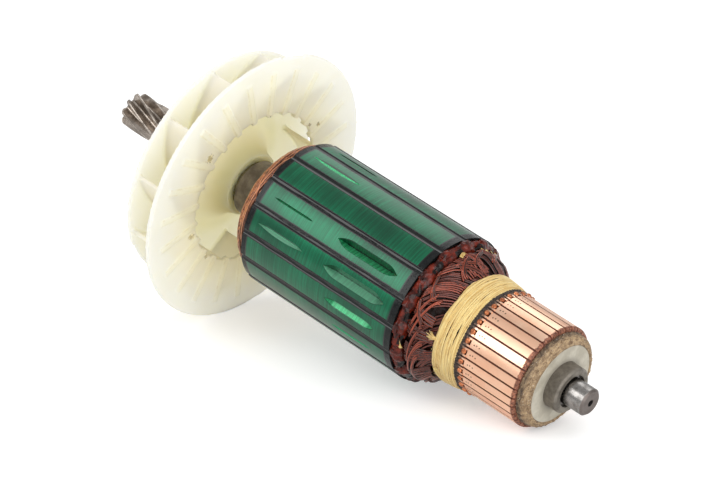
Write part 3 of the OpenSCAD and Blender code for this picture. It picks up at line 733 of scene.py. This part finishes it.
def fan_moulding():
    """The fan's three solids as one moulding with soft inner corners."""
    parts = ("fan_ring", "fan_back_plate", "fan_blades")
    points, faces = [], []
    for name in parts:
        mesh = nodes[name].data
        base = len(points)
        points.extend(tuple(v.co) for v in mesh.vertices)
        faces.extend(tuple(base + i for i in p.vertices) for p in mesh.polygons)
    mesh = bpy.data.meshes.new("fan_solids")
    mesh.from_pydata(points, [], faces)
    source = add_object("fan_solids", mesh)
    fuse = source.modifiers.new("fuse", "REMESH")
    fuse.mode = "VOXEL"
    fuse.voxel_size = 0.0004
    ease = source.modifiers.new("ease", "SMOOTH")
    ease.factor = 0.2
    ease.iterations = 2
    lean = source.modifiers.new("lean", "DECIMATE")
    lean.ratio = 0.4
    return dress(modified(source, "fan_moulding"), PLASTIC, parts)


def core_stack():
    """The core with one more balance groove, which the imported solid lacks."""
    theta = SLOT_PHASE + 3.5 * SLOT_PITCH
    start, length, depth, wheel = 34.1, 20.8, 1.35, 9.0
    # the wheel that cut it leaves both ends curved
    run_in = math.sqrt(2 * wheel * depth - depth ** 2)
    stations = np.linspace(start - 0.02, start + length + 0.02, 49)
    into = np.clip(run_in - np.minimum(stations - start, start + length - stations), 0, None)
    dip = depth - (wheel - np.sqrt(wheel ** 2 - into ** 2))
    above = 1.0
    turn = np.array(polar(1.0, theta, 0.0)), np.array(polar(1.0, theta + 90, 0.0))
    points = []
    for z, d in zip(stations, dip):
        for out, aside in ((CORE_R - d, 0.0), (CORE_R + above, -d - above), (CORE_R + above, d + above)):
            points.append(turn[0] * out + turn[1] * aside + np.array((0, 0, z)))
    faces = grid_faces(len(stations), 3)
    faces.append((2, 1, 0))
    faces.append(tuple(3 * (len(stations) - 1) + j for j in range(3)))
    mesh = bpy.data.meshes.new("groove_tool")
    mesh.from_pydata(to_world(points).tolist(), [], faces)
    tool = add_object("groove_tool", mesh)
    source = add_object("core_solid", nodes["laminated_core"].data.copy())
    cut = source.modifiers.new("cut", "BOOLEAN")
    cut.operation = "DIFFERENCE"
    cut.solver = "EXACT"
    cut.object = tool
    piece = modified(source, "core_stack")
    drop(tool)
    mesh = piece.data
    if "custom_normal" in mesh.attributes:
        mesh.attributes.remove(mesh.attributes["custom_normal"])
    mesh.set_sharp_from_angle(angle=math.radians(25))
    return dress(piece, LACQUER_GREEN, ("laminated_core",))


def rear_bed(z):
    """Radius of the bed below the rear coil heads, from shares of its height and length."""
    rows = ((0.97, 0), (1, 0.18), (0.95, 0.38), (0.64, 0.6), (0.3, 0.8), (0.12, 0.96), (0, 1.15))
    stations = [WASHER_FACE + (HEAD_END - WASHER_FACE) * f for _, f in rows]
    radii = [CORD_BED_R + (REAR_BED_R - CORD_BED_R) * k for k, _ in rows]
    return np.interp(z, stations, radii)


def rear_bundle(tubes, begin, sweep, first, last, half, count, lift, tone, radius):
    """Parallel wires that leave the washer on a slant and turn along the shaft at the cord."""
    v = np.linspace(0, 1, 24)
    u = first + (last - first) * v
    z = WASHER_FACE - 0.2 + (HEAD_END + 0.6 - WASHER_FACE) * u
    bed = rear_bed(z)
    bend = rng.uniform(1.2, 1.9)
    course = begin - sweep * (1 - (1 - v) ** bend)
    rise = np.clip(u / 0.16, 0.3, 1) * (1 - 0.55 * np.clip((u - 0.84) / 0.16, 0, 1))
    for j in range(count):
        w = (j + 0.5) / count * 2 - 1
        bow = rng.gauss(0, 0.09) * np.sin(math.pi * v) + rng.gauss(0, 0.06) * np.sin(2 * math.pi * v)
        across = (w * (1 - 0.12 * np.sin(math.pi * v)) + bow) * half
        height = (lift + 0.4 * (1 - w * w) + rng.gauss(0, 0.07)) * rise
        path = polar(bed + np.maximum(height, 0.1), course + across, z)
        tubes.add(path, radius * rng.uniform(0.92, 1.05), tone + rng.uniform(-0.15, 0.15), 0.95)


def rear_winding():
    """A bundle from each slot, with looser bundles over them and short ones on top."""
    tubes = Tubes(8)
    loose, short = 22, 20
    # the lower layers get darker tones than the upper ones, painted shade under the upper wires
    for k in range(SLOTS):
        rear_bundle(tubes, begin=SLOT_PHASE + k * SLOT_PITCH + rng.uniform(-2, 2),
                    sweep=rng.uniform(20, 30), first=rng.choice((0, 0.05, 0.28, 0.42)), last=1,
                    half=9.5, count=7, lift=rng.uniform(0.05, 0.3), tone=0.1, radius=0.46)
    for k in range(loose):
        rear_bundle(tubes, begin=k * 360 / loose + rng.uniform(-5, 5),
                    sweep=rng.choice((8, 16, 26, 34, 42, -6)), first=rng.uniform(0.04, 0.2),
                    last=rng.uniform(0.78, 1.0), half=rng.uniform(5.0, 6.6), count=5,
                    lift=rng.uniform(0.7, 1.0), tone=0.5, radius=0.44)
    for k in range(short):
        low = rng.uniform(0.12, 0.34)
        rear_bundle(tubes, begin=k * 360 / short + rng.uniform(-6, 6),
                    sweep=rng.choice((20, 28, 36, -16)), first=low, last=low + rng.uniform(0.25, 0.5),
                    half=rng.uniform(2.6, 4.2), count=3, lift=rng.uniform(0.95, 1.2), tone=0.8, radius=0.42)
    return tubes.piece("rear_winding", REAR_WIRE, "rear_wire", ("rear_coil_heads",))


def front_bed_point(u):
    """Radius and station on the bed below the front coil heads, a share of the way over it."""
    rows = ((0.96, 0), (1, 0.22), (0.96, 0.45), (0.84, 0.68), (0.62, 0.88), (0.35, 1), (0.12, 1.02))
    r = [FRONT_BORE + (FRONT_BED_R - FRONT_BORE) * k for k, _ in rows]
    z = [FRONT_FACE + (FRONT_TOP - FRONT_FACE) * f for _, f in rows]
    at = np.concatenate([[0], np.cumsum(np.hypot(np.diff(r), np.diff(z)))])
    at /= at[-1]
    return np.interp(u, at, r), np.interp(u, at, z)


def front_winding():
    """Wires that climb out of a slot, run round the head and dive down further on."""
    tubes = Tubes(7)
    v = np.linspace(0, 1, 22)
    wires = 15
    for k in range(SLOTS):
        for _ in range(wires):
            peak = rng.uniform(0.12, 0.9)
            sweep = rng.uniform(70, 120)
            u = peak * np.sin(math.pi * v) ** 0.7
            r, z = front_bed_point(u)
            lift = rng.uniform(0.25, 1.5) * np.clip(np.sin(math.pi * v) * 2.2, 0.15, 1)
            r = r + lift * (1 - 0.65 * u)
            z = z - lift * 0.75 * u
            theta = SLOT_PHASE + k * SLOT_PITCH + rng.uniform(-3, 3) + (v - 0.5) * sweep
            tubes.add(polar(r, theta, z), 0.4, rng.random(), 0.92)
    return tubes.piece("front_winding", FRONT_WIRE, "front_wire", ("front_coil_heads",))


def washer_lacquer():
    """Red lacquer that ran over the washer's rim and its tabs and set in lumps."""
    cols, most = 480, 24.38
    theta = angles(cols)
    tab = np.exp(-(near_pitch(theta, SLOT_PHASE, SLOT_PITCH) / 4.4) ** 4)
    # radius, station and how far the row follows the tabs
    rows = [(23.2, 61.7, 0.9), (23.75, 62.0, 0.65), (23.75, 62.7, 0.6), (23.55, 63.4, 0.5),
            (23.1, 64.1, 0.3), (22.4, 64.7, 0.2), (21.5, 65.0, 0.1), (20.4, 65.0, 0.0)]
    points = []
    for i, (r, z, on_tab) in enumerate(rows):
        lump = (0.22 + 0.05 * i) * wobble(theta, 200 + i // 2, 14, 50, 12)
        lump += 0.05 * wobble(theta, 220 + i, 60, 140, 12)
        shift = 0.1 * i * wobble(theta, 240 + i // 2, 9, 44, 12) * (i > 1)
        points.extend(polar(np.minimum(r + lump + on_tab * tab, most), theta, z + shift))
    return make_piece("washer_lacquer", points, grid_faces(len(rows), cols), RED_WASHER)


def slot_papers():
    """Ends of the slot paper that stand out between the coils."""
    points, faces = [], []
    rows, half = 7, 0.55
    for theta, z, r, length, turn in (
            (4, 65.2, 22.1, 3.0, 70), (-21, 64.6, 22.2, 2.4, 40), (-26, 65.6, 21.9, 1.8, 100),
            (-33, 65.0, 22.1, 2.2, 20), (-46, 64.6, 22.4, 2.6, 80), (97, 64.2, 22.7, 3.4, 60),
            (112, 75.6, 19.0, 1.6, 30), (200, 64.8, 22.2, 2.6, 60), (262, 64.8, 22.2, 2.6, 75)):
        base = len(points)
        for i in range(rows):
            f = i / (rows - 1) - 0.5
            for side in (-half, 0.0, half):
                along = f * length
                a = math.radians(turn)
                dz = along * math.cos(a) - side * math.sin(a)
                arc = along * math.sin(a) + side * math.cos(a)
                out = r + 0.35 * math.cos(f * 3) + 0.25 * side
                points.append(polar(out, theta + math.degrees(arc / r), z + dz))
        faces.extend(grid_faces(rows, 3, False, base))
    return make_piece("slot_papers", points, faces, PAPER)


def cord_top(f):
    """Radius of the cord's outer yarns, a share of the way along it."""
    return 18.12 - 0.75 * f - 0.3 * (2 * f - 1) ** 4


def cord_binding():
    """Loosely wound yarns that lie side by side, with some that cross the others."""
    tubes = Tubes(5)
    phi = angles(480)
    lanes, crossing = 12, 28
    for i in range(lanes):
        f = (i + 0.5) / lanes
        z = HEAD_END + 0.1 + (CORD_END - HEAD_END + 0.4) * f
        z = z + 0.36 * wobble(phi, 300 + i, 1, 9, 6) + 0.06 * wobble(phi, 320 + i, 20, 60, 8)
        r = cord_top(f) + 0.12 * wobble(phi, 340 + i, 2, 12, 6)
        swell = 0.38 + 0.07 * wobble(phi, 360 + i, 8, 40, 8)
        tubes.add(polar(r, phi, z), swell, rng.random(), 0.9, True)
        if i:
            tubes.add(polar(r - 0.12, phi, z - 0.33), 0.34, 0.25, 0.9, True)
    for i in range(crossing):
        span = np.linspace(0, rng.uniform(120, 280), 160)
        f = rng.uniform(0.06, 0.94) + (rng.uniform(-0.22, 0.22) * span / 200)
        f = np.clip(f, 0.03, 0.97)
        z = HEAD_END + 0.1 + (CORD_END - HEAD_END - 0.1) * f + 0.08 * wobble(span, 380 + i, 3, 15, 6)
        ends = np.clip(np.minimum(span, span[-1] - span) / 12, 0, 1)
        r = cord_top(f) + 0.02 + 0.3 * ends
        path = polar(r, i * 12.9 + rng.uniform(0, 20) + span, z)
        tubes.add(path, 0.17 + 0.06 * ends, 0.4 + rng.random() * 0.6)
    return tubes.piece("cord_binding", TWINE, "cord", ("binding_cord",))


def cord_frays():
    """The cord's cut tail and the hairs that stand off it."""
    tubes = Tubes(5)
    tail, fibres, hairs = 82, 26, 90
    v = np.linspace(0, 1, 9)
    for _ in range(fibres):
        spread = rng.gauss(0, 1)
        theta = tail + rng.uniform(-1.6, 1.6) + v ** 1.4 * (spread * 3.2 - 2.0)
        z = HEAD_END + 0.7 - v * rng.uniform(1.6, 3.1)
        r = 18.0 + 1.0 * np.sin(v * 1.7) + v * rng.gauss(0.5, 0.35)
        tubes.add(polar(r, theta, z), 0.11 * (1 - 0.4 * v), rng.random())
    v = np.linspace(0, 1, 6)
    for _ in range(hairs):
        start = rng.uniform(HEAD_END, CORD_END + 0.2)
        theta = rng.uniform(0, 360) + v * rng.uniform(-3, 3)
        z = start + v * rng.uniform(-0.7, 0.7)
        r = 18.45 - 0.1 * (start - HEAD_END) + np.sin(v * 2.2) * rng.uniform(0.1, 0.4)
        tubes.add(polar(r, theta, z), 0.035, rng.random())
    return tubes.piece("cord_frays", TWINE, "cord")


def slot_varnish():
    """Lacquer that bridges the slots, with a shallow hollow along its middle."""
    points, faces = [], []
    zs = np.linspace(FRONT_FACE + 0.05, REAR_FACE - 0.05, 64)
    half = 1.16
    w = np.linspace(-half, half, 17)
    for k in range(SLOTS):
        theta = SLOT_PHASE + k * SLOT_PITCH
        lean = rng.uniform(-0.12, 0.12)
        dip = rng.uniform(0.2, 0.34)
        pace, start = rng.uniform(0.2, 0.5), rng.uniform(0, 6)
        base = len(points)
        for z in zs:
            inside = np.clip(1 - ((w + lean) / half) ** 2, 0, 1)
            r = CORE_R + 0.07 - inside * (dip + 0.18 + 0.03 * math.sin(z * pace + start))
            r[0] = r[-1] = CORE_R - 0.02
            points.extend(polar(r, theta + np.degrees(w / CORE_R), z))
        faces.extend(grid_faces(len(zs), len(w), False, base))
    return make_piece("slot_varnish", points, faces, LACQUER_SLOT)


def riser_varnish():
    """Gritty resin that runs up between the risers, in rows of station and radius."""
    cols = 640
    theta = angles(cols)
    rows = [(81.0, 16.75), (81.3, 17.25), (81.8, 17.42), (82.3, 17.42), (82.8, 17.36), (83.2, 17.26),
            (83.6, 17.1), (83.9, 16.85)]
    near = near_pitch(theta, BAR_PHASE, BAR_PITCH) / (BAR_PITCH / 2)
    points = []
    for i, (z, r) in enumerate(rows):
        lump = 0.13 * wobble(theta, 20 + i, 60, 160, 14) + 0.05 * wobble(theta, 40 + i, 150, 300, 14)
        shift = 0.18 * wobble(theta, 60 + i // 3, 20, 90, 10) - 0.55 * (i >= 4) * (1 - near) ** 0.7
        edge = 1.0 if 0 < i < len(rows) - 1 else 0.3
        points.extend(polar(r + lump * edge, theta, z + shift))
    return make_piece("riser_varnish", points, grid_faces(len(rows), cols), GRIT)


def wire_beads():
    """The fused wire ends in the risers, as uneven beads."""
    points, faces = [], []
    lat, lon = 9, 14
    for k in range(BARS):
        theta = BAR_PHASE + (k + 0.5) * BAR_PITCH + rng.uniform(-0.5, 0.5)
        z0 = RISER_END - 1.15 + rng.uniform(-0.15, 0.15)
        size = rng.uniform(0.8, 0.92)
        base = len(points)
        for i in range(lat):
            a = math.pi * i / (lat - 1)
            for j in range(lon):
                b = 2 * math.pi * j / lon
                dent = 1 + 0.08 * math.sin(2 * b + k) * math.sin(a)
                out = math.sin(a) * math.cos(b) * size * dent * 0.7
                arc = math.sin(a) * math.sin(b) * size * dent
                points.append(polar(COMM_R + 0.12 + out, theta + math.degrees(arc / COMM_R),
                                    z0 + math.cos(a) * size * dent))
        faces.extend(grid_faces(lat, lon, True, base))
    return make_piece("wire_beads", points, faces, WIRE_END, stands_for=("riser_wires",))


def mica_ring():
    """The rough collar, in rows of radius and distance from the bars' ends."""
    cols, bore = 480, 12.99
    theta = angles(cols)
    rows = [(14.6, -0.9), (15.6, -0.2), (15.75, 0.4), (15.4, 1.1), (15.45, 1.8), (15.2, 2.5), (14.8, 3.0),
            (14.3, 3.4), (13.7, 3.8), (13.1, 3.8), (bore, 3.4)]
    points = []
    for i, (r, z) in enumerate(rows):
        lump = 0.2 * wobble(theta, 80 + i // 2, 12, 50, 10) + 0.13 * wobble(theta, 90 + i, 60, 200, 14)
        rise = 0.16 * wobble(theta, 110 + i // 2, 8, 60, 10) + 0.09 * wobble(theta, 120 + i, 60, 180, 12)
        if i >= len(rows) - 2:
            lump, rise = lump * 0, rise * 0.3
        points.extend(polar(np.maximum(r + lump, bore), theta, BAR_END + z + rise))
    return make_piece("mica_ring", points, grid_faces(len(rows), cols), MICA,
                      stands_for=("mica_collar",))


def pinion_teeth():
    """Helical teeth with rounded roots and tips, from rows of a tooth's height."""
    teeth, tip, root, chamfer = 9, 6.2, 3.8, 0.8
    start, length, helix = -76.6, 18.6, 17
    heights = [0, 0.03, 0.08, 0.18, 0.3, 0.45, 0.6, 0.75, 0.88, 0.96, 1.0]
    per_mm = math.degrees(math.tan(math.radians(helix)) / ((tip + root) / 2))
    levels = [0, 0.15, 0.4, 0.8] + list(np.linspace(1.2, length, 44))
    ring = []
    for i in range(teeth):
        for h, sign in [(h, -1) for h in heights] + [(h, 1) for h in reversed(heights)]:
            half = 0.09 + 0.27 * (1 - h) ** 1.3
            round_tip = 0.06 * (h == 1.0)
            ring.append((root + (tip - root) * h - round_tip, (i + sign * half) * 360 / teeth))
    ring_r = np.array([p[0] for p in ring])
    ring_a = np.array([p[1] for p in ring])
    points = []
    for level in levels:
        limit = tip - chamfer * max(0.0, 1 - level / chamfer) ** 1.2
        points.extend(polar(np.minimum(ring_r, limit), ring_a + level * per_mm, start + level))
    n = len(ring)
    faces = grid_faces(len(levels), n)
    faces.append(tuple(range(n - 1, -1, -1)))
    faces.append(tuple(range((len(levels) - 1) * n, len(levels) * n)))
    piece = make_piece("pinion_teeth", points, faces, PINION, stands_for=("pinion",))
    for end in (len(faces) - 2, len(faces) - 1):
        piece.data.polygons[end].use_smooth = False
    return piece


for build in (fan_moulding, core_stack, rear_winding, front_winding, washer_lacquer, slot_papers,
              cord_binding, cord_frays, slot_varnish, riser_varnish, wire_beads, mica_ring, pinion_teeth):
    build()


def floor():
    """The white surface, which glows a little where the camera or a reflection sees it."""
    half, white, glow, mirrored = 3.0, 0.8, 0.38, 0.5
    mesh = bpy.data.meshes.new("floor")
    corners = [(-half, -half, 0), (half, -half, 0), (half, half, 0), (-half, half, 0)]
    mesh.from_pydata(corners, [], [(0, 1, 2, 3)])
    s = Shade("floor_white")
    s.set(Base_Color=(white, white, white, 1), Roughness=0.9, Specular_IOR_Level=0.0)
    path = s.node("ShaderNodeLightPath").outputs
    seen = s.node("ShaderNodeMath", operation="MULTIPLY_ADD")
    s.link(path["Is Glossy Ray"], seen.inputs[0])
    seen.inputs[1].default_value = mirrored
    s.link(path["Is Camera Ray"], seen.inputs[2])
    pick = s.node("ShaderNodeMixShader")
    s.link(seen.outputs[0], pick.inputs[0])
    for place, strength in ((1, 0.0), (2, glow)):
        light = s.node("ShaderNodeEmission")
        light.inputs["Strength"].default_value = strength
        s.link(light.outputs[0], pick.inputs[place])
    both = s.node("ShaderNodeAddShader")
    s.link(s.bsdf.outputs[0], both.inputs[0])
    s.link(pick.outputs[0], both.inputs[1])
    out = next(n for n in s.tree.nodes if n.type == "OUTPUT_MATERIAL")
    s.link(both.outputs[0], out.inputs[0])
    mesh.materials.append(s.mat)
    obj = add_object("floor", mesh)


def lamp(name, direction, distance, size_x, size_y, radiance):
    """A soft lamp that looks at the part from a direction."""
    data = bpy.data.lights.new(name, "AREA")
    data.shape = "RECTANGLE"
    data.size, data.size_y = size_x, size_y
    data.energy = radiance * math.pi * size_x * size_y
    obj = add_object(name, data)
    target, way = Vector((0.02, 0, 0.03)), Vector(direction).normalized()
    obj.location = target + way * distance
    obj.rotation_mode = "QUATERNION"
    obj.rotation_quaternion = (-way).to_track_quat("-Z", "Y")


floor()
# Lamps by name, direction, distance, width, height and radiance, in metres
for values in (
    ("softbox_near", (-0.40, -0.68, 0.62), 0.9, 0.42, 0.56, 3.1),
    ("softbox_far", (-0.38, 0.58, 0.70), 0.9, 0.5, 0.56, 1.4),
    ("fill", (0.74, -0.26, 0.56), 1.6, 1.3, 1.1, 2.5),
    ("fill_low", (0.86, -0.42, 0.13), 1.6, 1.4, 0.36, 2.7),
    ("behind", (-0.92, 0.1, 0.3), 1.0, 0.8, 0.8, 0.45),
):
    lamp(*values)

world = bpy.data.worlds.new("studio")
bpy.context.scene.world = world
world.use_nodes = True
back = next(n for n in world.node_tree.nodes if n.type == "BACKGROUND")
back.inputs[0].default_value = (1, 1, 1, 1)
back.inputs[1].default_value = 0.64

# The camera as fitted to the photo, from a point on the shaft 1.2 mm before the core
FIT_POINT = ORIGIN - AXIS * 0.0012
CAMERA_OFFSET = Vector((0.7030, -0.7335, 0.4067))
CAMERA_LOOK = Vector((-0.62767, 0.68034, -0.37835))
cam_data = bpy.data.cameras.new("camera")
cam_data.lens = 175
cam_data.sensor_width = 36
cam_data.clip_start, cam_data.clip_end = 0.05, 20
cam = add_object("camera", cam_data)
cam.location = FIT_POINT + CAMERA_OFFSET
cam.rotation_mode = "QUATERNION"
cam.rotation_quaternion = CAMERA_LOOK.to_track_quat("-Z", "Y")
bpy.context.scene.camera = cam
bpy.context.scene.view_settings.view_transform = "Standard"
